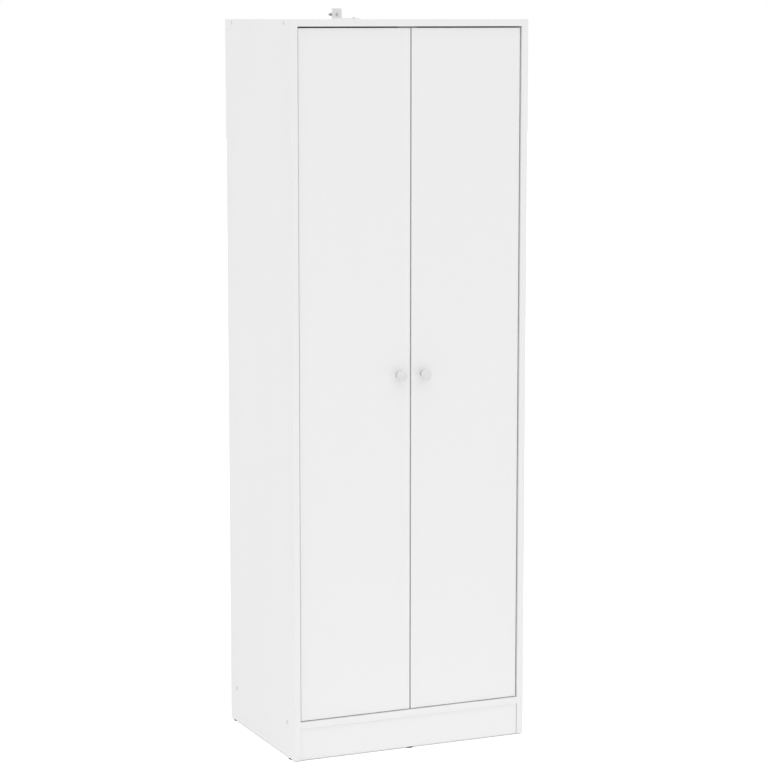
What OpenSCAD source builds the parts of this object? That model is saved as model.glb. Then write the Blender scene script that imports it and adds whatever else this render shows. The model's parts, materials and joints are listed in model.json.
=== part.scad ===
// Tall two-door pantry cabinet of white melamine board.
// The doors are inset between the sides, the top and the bottom, and turn on concealed cup hinges.
// The origin is on the floor, in the middle of the whole object's footprint. X is to the right and
// the front faces -Y. Lengths are in millimetres.

/* [Cabinet] */
// Width over the two side panels
cabinet_w = 625; // [560:1:700]
// Height from the floor to the top face
cabinet_h = 1800; // [1650:1:2000]
// Depth from the front edges of the sides to the rear face of the back panels
cabinet_d = 445; // [380:1:520]

/* [Boards] */
// Thickness of the sides, top, bottom, plinth and shelves
board_t = 17; // [15:0.5:19]
// Thickness of the hardboard back panels
back_t = 3; // [2.5:0.1:4]
// How far the back panels stop short of the outline
back_margin = 2; // [1:0.5:4]
// Height of the plinth board
plinth_h = 78.5; // [60:0.5:110]
// How far the plinth stands behind the front edges
plinth_setback = 3; // [1:0.5:20]

/* [Doors] */
// Thickness of the doors
door_t = 16; // [15:0.5:18]
// How far the door faces stand behind the front edges of the carcass
door_recess = 5; // [1:0.5:8]
// Gap between a door and the side panel
side_gap = 3; // [2.8:0.1:4]
// Gap between the two doors
centre_gap = 3.5; // [2:0.5:6]
// Gap between the doors and the top panel
top_gap = 3.5; // [2:0.5:6]
// Gap between the doors and the bottom panel
bottom_gap = 2; // [1.5:0.5:6]

/* [Knobs] */
// Distance of a knob's axis from the free edge of its door
knob_inset = 30.5; // [20:0.5:60]
// Height of the knobs above the floor
knob_z = 941; // [850:1:1050]
// Diameter of the knob's cap
knob_cap_d = 26.5; // [20:0.5:32]
// Diameter of the waist behind the cap
knob_waist_d = 16; // [9:0.5:18]
// Diameter of the foot on the door
knob_foot_d = 16; // [14:0.5:24]
// Length of the knob in front of the door
knob_l = 27; // [20:1:32]

/* [Hinges] */
// How far the doors open, in degrees
open_angle = 95; // [80:1:96]
// Distance of the pivot pin from the inner face of the side panel
pivot_in = 15; // [14.5:0.1:16]
// Distance of the pivot pin behind the front face of the door
pivot_back = 8.2; // [8:0.1:8.4]
// Distance of the end hinges from the ends of the door
hinge_end = 95; // [80:1:140]
// Diameter of the hinge cup
cup_d = 35; // [35:0.5:36]
// Board left in front of the hinge cup
cup_skin = 4; // [3.5:0.1:4.2]
// Board left between the cup and the edge of the door
cup_edge = 5; // [4.5:0.1:5.5]
// Diameter of the pivot pin
hinge_pin_d = 3; // [2.5:0.1:3.2]
// Distance of the hinge plate's screws behind the inner face of the door
plate_line = 37; // [34:1:48]

/* [Shelves] */
// Distance of the shelves' front edges behind the doors
shelf_setback = 10; // [8:1:40]
// Gap at each end of a loose shelf
shelf_gap = 1; // [0.5:0.1:2]
// Pitch of the rows of holes for the shelf pins
pin_pitch = 32; // [25:1:40]
// Diameter of the shelf pins
pin_d = 5; // [4:0.5:6]
// Distance of the pin rows from the front and rear edges of the shelves
pin_inset = 45; // [30:1:60]

/* [Fasteners] */
// Distance of the front housing screws from the front edges
screw_front = 47; // [45:1:70]
// Distance of the rear housing screws from the rear edges of the sides
screw_rear = 45; // [32:1:60]
// Diameter of the head of a housing screw
housing_head_d = 9; // [8:0.5:10]
// Length of a housing screw
housing_screw_l = 48; // [40:1:55]
// Diameter of the caps over the housing screws
cap_d = 11; // [10.5:0.5:14]
// Diameter of the wooden dowels
dowel_d = 8; // [6:0.5:9]
// Length of the wooden dowels
dowel_l = 30; // [24:1:36]
// Diameter of the cam locks
cam_d = 15; // [13:0.5:16]
// Distance of a cam lock's axis from the end of its board
cam_reach = 34; // [28:1:40]
// Largest distance between the nails of the back panels
nail_pitch = 160; // [110:5:220]
// Length of the nails of the back panels
nail_l = 20; // [15:1:25]

/* [Glides] */
// Height of the glides under the boards
glide_h = 3; // [2:0.5:6]
// Diameter of the glides
glide_d = 15; // [12:0.5:15]
// Distance of the front glides from the front edges of the sides
glide_front = 34; // [15:1:40]
// Distance of the rear glides from the rear edges of the sides
glide_rear = 26; // [15:1:40]

/* [Wall bracket] */
// Width of the wall bracket
bracket_w = 26.5; // [20:0.5:32]
// Thickness of the bracket's strip
bracket_t = 2; // [1.5:0.1:3]
// Length of the leg on the top panel, from its end to the wall
bracket_leg = 123; // [90:1:140]
// Height of the bracket's upright plate
bracket_up = 27; // [22:1:40]
// Distance of the upright plate behind the back panels
bracket_stand = 19; // [5:1:30]
// Length of the wall plug
plug_l = 48; // [35:1:60]
// Diameter of the wall plug
plug_d = 7; // [6:0.5:10]

/* [Hidden] */
$fn = 48;

// Clearance round a fastener in its hole
fit = 0.05;
// Gap between faces that move past each other
play = 0.3;
// How far a cutting tool runs past the face it opens
over = 1;

// Widths, from the middle plane
half_w = cabinet_w / 2;
inner_w = half_w - board_t;
door_hinge_x = inner_w - side_gap;
door_free_x = centre_gap / 2;

// Heights
z_side = glide_h;
z_bottom = z_side + plinth_h;
z_floor = z_bottom + board_t;
z_ceiling = cabinet_h - board_t;
z_door = z_floor + bottom_gap;
z_door_top = z_ceiling - top_gap;
rail_rows = [z_bottom + board_t / 2, z_ceiling + board_t / 2];

// Depths. The knobs stand out in front and the wall plug behind.
knob_over = max(knob_l - door_recess, 0);
wall_over = bracket_stand + bracket_t + plug_l;
y_front = knob_over - (knob_over + cabinet_d + wall_over) / 2;
y_back = y_front + cabinet_d;
y_rear = y_back - back_t;
y_door = y_front + door_recess;
y_door_back = y_door + door_t;
y_shelf = y_door_back + shelf_setback;
y_plinth = y_front + plinth_setback;
y_plinth_mid = y_plinth + board_t / 2;
y_middle = (y_front + y_rear) / 2;

// Shelves: one fixed and three loose, at even heights, the loose ones on the pitch of the holes
shelf_n = 4;
fixed_place = 2;
loose_places = [1, 3, 4];
bay_h = (z_ceiling - z_floor - shelf_n * board_t) / (shelf_n + 1);
function shelf_even_z(place) = z_floor + place * bay_h + (place - 1) * board_t;
function shelf_row_z(place) =
    z_floor + pin_pitch * round((shelf_even_z(place) - z_floor) / pin_pitch);
z_fixed = shelf_even_z(fixed_place);
z_fixed_mid = z_fixed + board_t / 2;
shelf_back_gap = 1;
pin_columns = [y_shelf + pin_inset, y_rear - shelf_back_gap - pin_inset];
pin_steps = [-2, -1, 0, 1, 2];
pin_r = pin_d / 2;
pin_depth = 9;
pin_hole_depth = 11;
spoon_l = 9;
spoon_w = 12;
spoon_t = 1.6;

// Housing screws, their caps and the dowels of the carcass
screw_rows_y = [y_front + screw_front, y_rear - screw_rear];
head_r = housing_head_d / 2;
head_l = 3.5;
neck_r = 3.4;
core_r = 2.4;
tip_l = 3;
socket_r = 2.3;
socket_depth = 2.5;
cap_r = cap_d / 2;
cap_t = 1.2;
cap_proud = 0.3;
dowel_r = dowel_d / 2;
dowel_in_side = dowel_l / 3;
dowel_in_board = dowel_l - dowel_in_side;
dowel_end_gap = 0.5;
plinth_dowel_in = 130;
plinth_dowel_x = inner_w - plinth_dowel_in;

// Cam fittings of the fixed shelf and the plinth
cam_r = cam_d / 2;
cam_depth = 12.5;
bolt_thread_r = 2.5;
bolt_thread_l = 10;
bolt_shank_r = 3;
bolt_neck_r = 1.8;
bolt_neck_l = 5;
bolt_head_r = 3;
bolt_bore_r = 3.6;
fixed_cam_front = 40;
fixed_cam_rear = 60;
fixed_cam_rows_y = [y_shelf + fixed_cam_front, y_rear - fixed_cam_rear];
plinth_cam_up = 31;
plinth_dowel_down = 16;
z_plinth_cam = z_side + plinth_cam_up;
z_plinth_dowel = z_bottom - plinth_dowel_down;

// Back panels, the strip that joins them and their nails
strip_t = 1;
strip_lap = 9;
strip_slack = 0.15;
back_x = half_w - back_margin;
z_back = z_bottom + back_margin;
z_back_top = cabinet_h - back_margin;
y_fixed_rear = y_rear - strip_slack - strip_t - play;
nail_r = 0.8;
nail_head_r = 2.4;
nail_head_t = 0.8;
nail_edge = 30;
function spaced(a, b, pitch) =
    let (n = ceil((b - a) / pitch)) [for (i = [0 : n]) a + (b - a) * i / n];
nail_side_x = half_w - board_t / 2;
nail_columns_z = concat(spaced(z_back + nail_edge, z_fixed_mid - nail_edge, nail_pitch),
    spaced(z_fixed_mid + nail_edge, z_back_top - nail_edge, nail_pitch));
nail_rail_x = spaced(nail_edge * 2 - inner_w, inner_w - nail_edge * 2, nail_pitch);
nail_places = concat(
    [for (z = nail_columns_z, x = [-nail_side_x, nail_side_x]) [x, z]],
    [for (z = rail_rows, x = nail_rail_x) [x, z]]);

// Glides
glide_r = glide_d / 2;
glide_nail_r = 1.1;
glide_nail_l = 14;
glide_nail_head_r = 2.4;
glide_nail_sunk = 0.8;
glide_places = concat(
    [for (x = [-nail_side_x, nail_side_x], y = [y_front + glide_front, y_rear - glide_rear]) [x, y]],
    [[0, y_plinth_mid]]);

// Hinges. In a hinge's own frame X runs inwards from the inner face of the side panel, Y runs back
// from the front face of the closed door and Z is measured from the middle of the hinge.
hinge_rows = [z_door + hinge_end, (z_door + z_door_top) / 2, z_door_top - hinge_end];
cup_r = cup_d / 2;
cup_x = side_gap + cup_edge + cup_r;
cup_wall = 1;
cup_floor = 0.8;
cup_flange_t = 1.2;
cup_flange_lap = 1.5;
cup_wing_over = 6;
cup_wing_x = cup_x + cup_wing_over;
cup_wing_z = 24;
cup_wing_r = 5;
hinge_pin_r = hinge_pin_d / 2;
pin_slot = 0.02;
eye_r = pivot_back - cup_skin - cup_floor - 0.2;
bar_r = eye_r - 0.4;
cheek_in = 5.5;
cheek_out = 7.5;
ear_z = cheek_out + play;
ear_r = eye_r;
hinge_pin_half = sqrt(pow(cup_r - fit, 2) - pow(cup_x - pivot_in + hinge_pin_r, 2)) - 0.2;
// The swing of the door's rear corner round the pin sets where the arm may stand
corner_in = pivot_in - side_gap;
corner_back = door_t - pivot_back;
corner_r = sqrt(corner_in * corner_in + corner_back * corner_back);
corner_open_x = pivot_in - corner_in * cos(open_angle) + corner_back * sin(open_angle);
leg_x = corner_open_x + cup_flange_t + 0.6 + bar_r;
crank_y = pivot_back + corner_r + 1 + bar_r;
web_t = 1.2;
rail_seat = 3;
rail_x = rail_seat + bar_r;
plate_y = door_t + plate_line;
arm_tail = 20;
arm_end_y = plate_y + arm_tail;
plate_wing_t = 1.6;
plate_wing_z = 16;
plate_wing_r = 6;
plate_rib_top = rail_x + bar_r - play;
plate_rib_half = cheek_in - play;
plate_rib_front = 13;
plate_rib_rear = 19;
plate_rib_y = [plate_y - plate_rib_front, plate_y + plate_rib_rear];
plate_screw_r = 2.5;
plate_screw_l = 10;
plate_screw_head_r = 4;
plate_screw_head_t = 1.4;
clamp_rear = 10;
adjuster_front = 6;
clamp_y = plate_y + clamp_rear;
adjuster_y = plate_y - adjuster_front;
arm_screw_r = 2;
clamp_head_r = 3.6;
clamp_head_t = 1.8;
cup_screw_r = 1.7;
cup_screw_l = 10;
cup_screw_head_r = 3.4;
cup_screw_head_t = 1.6;

// Magnetic catch under the top panel
strike_t = 1.2;
strike_w = 18;
strike_h = 12;
strike_x = door_free_x + 4 + strike_w / 2;
z_catch = z_door_top - 2 - strike_h / 2;
catch_w = 2 * strike_x + strike_w;
catch_h = z_ceiling - z_catch + strike_h / 2;
catch_d = 20;
magnet_d = 7;
magnet_w = strike_w - 4;
magnet_h = strike_h - 4;
magnet_proud = 0.8;
y_magnet = y_door_back + strike_t + play;
y_catch = y_magnet + magnet_proud;
catch_screw_x = catch_w / 4;
catch_screw_y = y_catch + catch_d * 0.68;
catch_screw_r = 1.6;
catch_screw_head_r = 3.2;
catch_screw_head_t = 2;
catch_screw_in = 10;
strike_screw_r = 1.5;
strike_screw_l = 9;
strike_screw_head_r = 2.8;

// Knobs
knob_x = door_free_x + knob_inset;
knob_cap_r = knob_cap_d / 2;
knob_waist_r = knob_waist_d / 2;
knob_foot_r = knob_foot_d / 2;
knob_foot_t = knob_l * 0.06;
knob_waist_at = knob_l * 0.3;
knob_rim_at = knob_l * 0.8;
knob_rim_t = knob_l * 0.06;
knob_screw_r = 2;
knob_screw_in = 10;
knob_screw_head_r = 4.2;
knob_screw_head_t = 2.4;

// Wall bracket
y_wall = y_back + bracket_stand + bracket_t;
y_leg = y_wall - bracket_leg;
bend_r = 2.5;
leg_screw_edge = 12;
leg_screw_y = y_leg + leg_screw_edge;
leg_slot_l = 34;
leg_screw_r = 2;
leg_screw_in = board_t - 4;
leg_screw_head_r = 4;
leg_screw_head_t = 2.2;
wall_screw_up = 11.5;
wall_screw_z = cabinet_h + wall_screw_up;
wall_screw_r = 1.9;
wall_screw_in = plug_l * 0.9;
plug_r = plug_d / 2;
plug_collar_r = plug_r + 0.8;
plug_collar_t = 1.2;
plug_tip_r = plug_r * 0.7;
plug_rib_n = 5;
plug_rib_h = 0.4;

module block(x, y, z) {
    translate([x[0], y[0], z[0]])
        cube([x[1] - x[0], y[1] - y[0], z[1] - z[0]]);
}

module rod_x(r, x, y, z) {
    translate([x[0], y, z]) rotate([0, 90, 0]) cylinder(r = r, h = x[1] - x[0]);
}

module rod_y(r, x, y, z) {
    translate([x, y[1], z]) rotate([90, 0, 0]) cylinder(r = r, h = y[1] - y[0]);
}

module rod_z(r, x, y, z) {
    translate([x, y, z[0]]) cylinder(r = r, h = z[1] - z[0]);
}

// Repeats a left-hand thing on the right
module both_hands() {
    children();
    mirror([1, 0, 0]) children();
}

// A cross recess for a screwdriver, sunk from z = 0 downwards
module cross_recess(r, depth) {
    for (turn = [0, 90]) rotate([0, 0, turn])
        translate([-r, -r / 5, -depth]) cube([2 * r, 2 * r / 5, depth + over]);
}

// A pan-head screw pointing down, its head standing on z = 0
module pan_screw(r, l, head_r, head_t) {
    difference() {
        union() {
            cylinder(r1 = head_r, r2 = head_r * 0.78, h = head_t);
            translate([0, 0, -l + r]) cylinder(r = r, h = l - r + head_t / 2);
            translate([0, 0, -l]) cylinder(r1 = r * 0.3, r2 = r, h = r);
        }
        translate([0, 0, head_t]) cross_recess(head_r * 0.55, head_t * 0.6);
    }
}

// A countersunk screw pointing down, its head flush with z = 0
module flat_screw(r, l, head_r, head_t) {
    difference() {
        union() {
            translate([0, 0, -head_t]) cylinder(r1 = r, r2 = head_r, h = head_t);
            translate([0, 0, -l + r]) cylinder(r = r, h = l - r - head_t / 2);
            translate([0, 0, -l]) cylinder(r1 = r * 0.3, r2 = r, h = r);
        }
        cross_recess(head_r * 0.6, head_t * 0.6);
    }
}

// ---- Carcass boards ----

// Bores for the housing screws and their caps, from the outer face of the left side
module housing_bores() {
    for (y = screw_rows_y, z = rail_rows) {
        rod_x(neck_r + fit, [-half_w - over, -inner_w + over], y, z);
        rod_x(head_r + fit, [-half_w - over, -half_w + cap_t + head_l + fit], y, z);
        rod_x(cap_r + fit, [-half_w - over, -half_w + cap_t], y, z);
    }
}

// Blind bores in the inner face of the left side for the dowels and the cam bolts
module joint_bores() {
    depth = dowel_in_side + dowel_end_gap;
    for (z = concat(rail_rows, z_fixed_mid))
        rod_x(dowel_r + fit, [-inner_w - depth, -inner_w + over], y_middle, z);
    rod_x(dowel_r + fit, [-inner_w - depth, -inner_w + over], y_plinth_mid, z_plinth_dowel);
    for (y = fixed_cam_rows_y)
        rod_x(bolt_thread_r + fit, [-inner_w - bolt_thread_l, -inner_w + over], y, z_fixed_mid);
    rod_x(bolt_thread_r + fit, [-inner_w - bolt_thread_l, -inner_w + over], y_plinth_mid,
        z_plinth_cam);
}

// Rows of holes in the inner face of the left side for the pins of the loose shelves
module pin_holes() {
    for (place = loose_places, step = pin_steps, y = pin_columns)
        rod_x(pin_r + fit, [-inner_w - pin_hole_depth, -inner_w + over], y,
            shelf_row_z(place) - pin_r + step * pin_pitch);
}

module plate_screw_bores() {
    for (z = hinge_rows, up = [-1, 1])
        rod_x(plate_screw_r + fit, [-inner_w - plate_screw_l - fit, -inner_w + over],
            y_door + plate_y, z + up * plate_wing_z);
}

module nail_bores() {
    for (place = nail_places)
        rod_y(nail_r + fit, place[0], [y_back - nail_l, y_back + over], place[1]);
}

module glide_bores() {
    for (place = glide_places)
        rod_z(glide_nail_r + fit, place[0], place[1], [0, glide_h + glide_nail_l]);
}

module side_panel() {
    difference() {
        block([-half_w, -inner_w], [y_front, y_rear], [z_side, cabinet_h]);
        housing_bores();
        joint_bores();
        pin_holes();
        plate_screw_bores();
        nail_bores();
        glide_bores();
    }
}

module left_side_panel() {
    color("white") side_panel();
}

module right_side_panel() {
    color("white") mirror([1, 0, 0]) side_panel();
}

// Bores in both ends of a board for the housing screws and the dowel of each end
module end_bores(z) {
    both_hands() {
        for (y = screw_rows_y)
            rod_x(core_r + fit, [-inner_w - over, -half_w + cap_t + housing_screw_l + over], y, z);
        rod_x(dowel_r + fit, [-inner_w - over, -inner_w + dowel_in_board + dowel_end_gap],
            y_middle, z);
    }
}

module top_panel() {
    color("white") difference() {
        block([-inner_w, inner_w], [y_front, y_rear], [z_ceiling, cabinet_h]);
        end_bores(rail_rows[1]);
        nail_bores();
        rod_z(leg_screw_r + fit, 0, leg_screw_y, [cabinet_h - leg_screw_in, cabinet_h + over]);
        both_hands()
            rod_z(catch_screw_r + fit, -catch_screw_x, catch_screw_y,
                [z_ceiling - over, z_ceiling + catch_screw_in]);
    }
}

module plinth_top_dowel_bores() {
    both_hands()
        rod_z(dowel_r + fit, -plinth_dowel_x, y_plinth_mid,
            [z_bottom - dowel_in_board - dowel_end_gap, z_bottom + dowel_in_side + dowel_end_gap]);
}

module bottom_panel() {
    color("white") difference() {
        block([-inner_w, inner_w], [y_front, y_rear], [z_bottom, z_floor]);
        end_bores(rail_rows[0]);
        nail_bores();
        plinth_top_dowel_bores();
    }
}

// The bore for a cam lock and the bore that leads its bolt in from the board's left end
module fixed_shelf() {
    color("white") difference() {
        block([-inner_w, inner_w], [y_shelf, y_fixed_rear], [z_fixed, z_fixed + board_t]);
        both_hands() {
            for (y = fixed_cam_rows_y) {
                rod_z(cam_r + fit, -inner_w + cam_reach, y, [z_fixed - over, z_fixed + cam_depth]);
                rod_x(bolt_bore_r, [-inner_w - over, -inner_w + cam_reach], y, z_fixed_mid);
            }
            rod_x(dowel_r + fit, [-inner_w - over, -inner_w + dowel_in_board + dowel_end_gap],
                y_middle, z_fixed_mid);
        }
    }
}

module plinth_board() {
    color("white") difference() {
        block([-inner_w, inner_w], [y_plinth, y_plinth + board_t], [z_side, z_bottom]);
        both_hands() {
            rod_y(cam_r + fit, -inner_w + cam_reach,
                [y_plinth + board_t - cam_depth, y_plinth + board_t + over], z_plinth_cam);
            rod_x(bolt_bore_r, [-inner_w - over, -inner_w + cam_reach], y_plinth_mid, z_plinth_cam);
            rod_x(dowel_r + fit, [-inner_w - over, -inner_w + dowel_in_board + dowel_end_gap],
                y_plinth_mid, z_plinth_dowel);
        }
        plinth_top_dowel_bores();
        glide_bores();
    }
}

module loose_shelf(place) {
    z = shelf_row_z(place);
    color("white")
        block([-inner_w + shelf_gap, inner_w - shelf_gap], [y_shelf, y_rear - shelf_back_gap],
            [z, z + board_t]);
}

module lower_shelf() { loose_shelf(loose_places[0]); }
module middle_shelf() { loose_shelf(loose_places[1]); }
module upper_shelf() { loose_shelf(loose_places[2]); }

// ---- Back ----

module back_panel(z) {
    color("whitesmoke") difference() {
        block([-back_x, back_x], [y_rear, y_back], z);
        nail_bores();
    }
}

module lower_back_panel() {
    back_panel([z_back, z_fixed_mid - strip_t / 2 - strip_slack]);
}

module upper_back_panel() {
    back_panel([z_fixed_mid + strip_t / 2 + strip_slack, z_back_top]);
}

// An H-shaped strip that holds the edges of the two back panels
module back_joining_strip() {
    x = [-inner_w + play, inner_w - play];
    z = [z_fixed_mid - strip_lap, z_fixed_mid + strip_lap];
    color("white") {
        block(x, [y_rear - strip_slack - strip_t, y_rear - strip_slack], z);
        block(x, [y_back + strip_slack, y_back + strip_slack + strip_t], z);
        block(x, [y_rear - strip_slack - strip_t / 2, y_back + strip_slack + strip_t / 2],
            [z_fixed_mid - strip_t / 2, z_fixed_mid + strip_t / 2]);
    }
}

module back_nails() {
    color("silver") for (place = nail_places) {
        rod_y(nail_r, place[0], [y_back - nail_l + nail_head_t, y_back + nail_head_t / 2], place[1]);
        rod_y(nail_head_r, place[0], [y_back, y_back + nail_head_t], place[1]);
    }
}

// ---- Fasteners of the carcass ----

module housing_screw() {
    tip = housing_screw_l - tip_l;
    rotate([0, 90, 0]) difference() {
        union() {
            cylinder(r = head_r, h = head_l);
            cylinder(r = neck_r, h = board_t - cap_t);
            cylinder(r = core_r, h = tip);
            translate([0, 0, tip]) cylinder(r1 = core_r, r2 = core_r / 3, h = tip_l);
        }
        translate([0, 0, -over]) cylinder(r = socket_r, h = socket_depth + over, $fn = 6);
    }
}

module housing_screws() {
    color("silver") both_hands()
        for (y = screw_rows_y, z = rail_rows)
            translate([-half_w + cap_t, y, z]) housing_screw();
}

// Shallow round caps with a domed face
module screw_caps() {
    edge = 0.4;
    color("lightgray") both_hands()
        for (y = screw_rows_y, z = rail_rows)
            translate([-half_w + cap_t, y, z]) rotate([0, -90, 0]) {
                cylinder(r = cap_r, h = cap_t + cap_proud - edge / 2);
                translate([0, 0, cap_t + cap_proud - edge / 2])
                    cylinder(r1 = cap_r, r2 = cap_r - edge, h = edge / 2);
            }
}

// A dowel with chamfered ends, pointing along X from the middle of its joint
module dowel() {
    chamfer = 1;
    rotate([0, 90, 0]) translate([0, 0, -dowel_in_side]) {
        cylinder(r1 = dowel_r - chamfer, r2 = dowel_r, h = chamfer);
        translate([0, 0, chamfer]) cylinder(r = dowel_r, h = dowel_l - 2 * chamfer);
        translate([0, 0, dowel_l - chamfer])
            cylinder(r1 = dowel_r, r2 = dowel_r - chamfer, h = chamfer);
    }
}

module wooden_dowels() {
    color("burlywood") both_hands() {
        for (z = concat(rail_rows, z_fixed_mid)) translate([-inner_w, y_middle, z]) dowel();
        translate([-inner_w, y_plinth_mid, z_plinth_dowel]) dowel();
        translate([-plinth_dowel_x, y_plinth_mid, z_bottom]) rotate([0, 90, 0]) dowel();
    }
}

// A cam bolt, screwed into the side at its thread, its round head on the lock's axis
module cam_bolt() {
    shank_l = cam_reach - bolt_neck_l;
    rotate([0, 90, 0]) {
        translate([0, 0, 0.5 - bolt_thread_l]) cylinder(r = bolt_thread_r, h = bolt_thread_l);
        cylinder(r = bolt_shank_r, h = shank_l);
        translate([0, 0, shank_l - over]) cylinder(r = bolt_neck_r, h = bolt_neck_l + over);
        translate([0, 0, cam_reach]) sphere(r = bolt_head_r);
    }
}

module cam_bolts() {
    color("silver") both_hands() {
        for (y = fixed_cam_rows_y) translate([-inner_w, y, z_fixed_mid]) cam_bolt();
        translate([-inner_w, y_plinth_mid, z_plinth_cam]) cam_bolt();
    }
}

// A cam lock standing on its open face at z = 0, its bolt coming in along +X at the board's middle
module cam_lock() {
    difference() {
        cylinder(r = cam_r, h = cam_depth - play);
        rod_x(bolt_bore_r, [-cam_r - over, 0], 0, board_t / 2);
        translate([0, 0, board_t / 2]) sphere(r = bolt_bore_r);
        rotate([180, 0, 45]) cross_recess(cam_r * 0.55, 2);
    }
}

module cam_locks() {
    color("silver") both_hands() {
        for (y = fixed_cam_rows_y) translate([-inner_w + cam_reach, y, z_fixed]) cam_lock();
        translate([-inner_w + cam_reach, y_plinth + board_t, z_plinth_cam]) rotate([90, 0, 0])
            cam_lock();
    }
}

// A pin with a flat spoon that the shelf rests on
module shelf_pin() {
    rib_h = pin_d - spoon_t;
    translate([0, 0, -pin_r]) {
        rod_x(pin_r, [-pin_depth, spoon_l / 3], 0, 0);
        block([0, spoon_l], [-spoon_w / 2, spoon_w / 2], [pin_r - spoon_t, pin_r]);
        translate([0, spoon_t / 2, 0]) rotate([90, 0, 0]) linear_extrude(spoon_t)
            polygon([[0, pin_r - spoon_t / 2], [0, -rib_h], [spoon_l, pin_r - spoon_t / 2]]);
    }
}

module shelf_pins() {
    color("silver") both_hands()
        for (place = loose_places, y = pin_columns)
            translate([-inner_w, y, shelf_row_z(place)]) shelf_pin();
}

module glides() {
    chamfer = glide_h * 0.3;
    color("dimgray") for (place = glide_places) translate([place[0], place[1], 0]) difference() {
        union() {
            cylinder(r1 = glide_r - chamfer, r2 = glide_r, h = chamfer);
            translate([0, 0, chamfer]) cylinder(r = glide_r, h = glide_h - chamfer);
        }
        translate([0, 0, -over]) cylinder(r = glide_nail_head_r + fit, h = glide_h * 0.5 + over);
        cylinder(r = glide_nail_r + fit, h = glide_h + over);
    }
}

module glide_nails() {
    color("silver") for (place = glide_places) {
        rod_z(glide_nail_head_r, place[0], place[1], [glide_h * 0.5 - glide_nail_sunk, glide_h * 0.5]);
        rod_z(glide_nail_r, place[0], place[1],
            [glide_h * 0.5 - glide_nail_sunk / 2, glide_h + glide_nail_l - play]);
    }
}

// ---- Hinges, drawn left-handed in the hinge's own frame ----

module at_hinges() {
    for (z = hinge_rows) translate([-inner_w, y_door, z]) children();
}

// A straight bar with round ends in the XY plane, between two points
module bar(a, b, r) {
    run = b - a;
    l = norm(run);
    translate(a) rotate(atan2(run[1], run[0])) {
        circle(r = r);
        translate([0, -r]) square([l, 2 * r]);
        translate([l, 0]) circle(r = r);
    }
}

// The side of the arm: an eye round the pin, a hooked neck round the door's edge, a crank and a rail
module cheek_outline() {
    eye = [pivot_in, pivot_back];
    elbow = [leg_x, pivot_back];
    knee = [leg_x, crank_y];
    heel = [rail_x, crank_y];
    tail = [rail_x, arm_end_y - bar_r];
    difference() {
        union() {
            translate(eye) circle(r = eye_r);
            bar(eye, elbow, bar_r);
            bar(elbow, knee, bar_r);
            bar(knee, heel, bar_r);
            bar(heel, tail, bar_r);
        }
        translate(eye) circle(r = hinge_pin_r + fit);
    }
}

module hinge_arm() {
    web_z = [-cheek_out, cheek_out];
    far_x = leg_x + bar_r;
    top_x = rail_x + bar_r;
    crank_rear = crank_y + bar_r;
    difference() {
        union() {
            for (z = [-cheek_out, cheek_in]) translate([0, 0, z])
                linear_extrude(cheek_out - cheek_in) cheek_outline();
            block([far_x - web_t, far_x], [pivot_back, crank_y], web_z);
            block([top_x - web_t / 2, leg_x], [crank_rear - web_t, crank_rear], web_z);
            block([top_x, top_x + web_t], [crank_y, arm_end_y - bar_r], web_z);
        }
        for (y = [clamp_y, adjuster_y])
            rod_x(arm_screw_r + fit, [top_x - over, top_x + web_t + over], y, 0);
    }
}

module left_hinge_arms() {
    color("silver") at_hinges() hinge_arm();
}

module right_hinge_arms() {
    color("silver") mirror([1, 0, 0]) at_hinges() hinge_arm();
}

module hinge_plate() {
    difference() {
        union() {
            rotate([0, 90, 0]) linear_extrude(plate_wing_t)
                bar([-plate_wing_z, plate_y], [plate_wing_z, plate_y], plate_wing_r);
            block([0, plate_rib_top], plate_rib_y, [-plate_rib_half, plate_rib_half]);
        }
        for (z = [-plate_wing_z, plate_wing_z]) {
            rod_x(plate_screw_r + fit, [-over, plate_wing_t + over], plate_y, z);
            translate([plate_wing_t, plate_y, z]) rotate([0, 90, 0])
                translate([0, 0, -plate_screw_head_t]) cylinder(r1 = plate_screw_r + fit,
                    r2 = plate_screw_head_r + fit, h = plate_screw_head_t + 0.001);
        }
        for (y = [clamp_y, adjuster_y])
            rod_x(arm_screw_r + fit, [plate_wing_t, plate_rib_top + over], y, 0);
    }
}

module left_hinge_plates() {
    color("silver") at_hinges() hinge_plate();
}

module right_hinge_plates() {
    color("silver") mirror([1, 0, 0]) at_hinges() hinge_plate();
}

module hinge_plate_screws() {
    color("silver") both_hands() at_hinges()
        for (z = [-plate_wing_z, plate_wing_z])
            translate([plate_wing_t, plate_y, z]) rotate([0, 90, 0])
                flat_screw(plate_screw_r, plate_screw_l + plate_wing_t, plate_screw_head_r,
                    plate_screw_head_t);
}

// The clamping screw and the side adjuster of each arm
module hinge_arm_screws() {
    web_top = rail_x + bar_r + web_t;
    l = web_top - plate_wing_t - play;
    color("silver") both_hands() at_hinges() for (y = [clamp_y, adjuster_y])
        translate([web_top, y, 0]) rotate([0, 90, 0])
            pan_screw(arm_screw_r, l, clamp_head_r, clamp_head_t);
}

module cup_flange_outline() {
    translate([cup_x, 0]) circle(r = cup_r + cup_flange_lap);
    bar([cup_wing_x, -cup_wing_z], [cup_wing_x, cup_wing_z], cup_wing_r);
}

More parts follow.
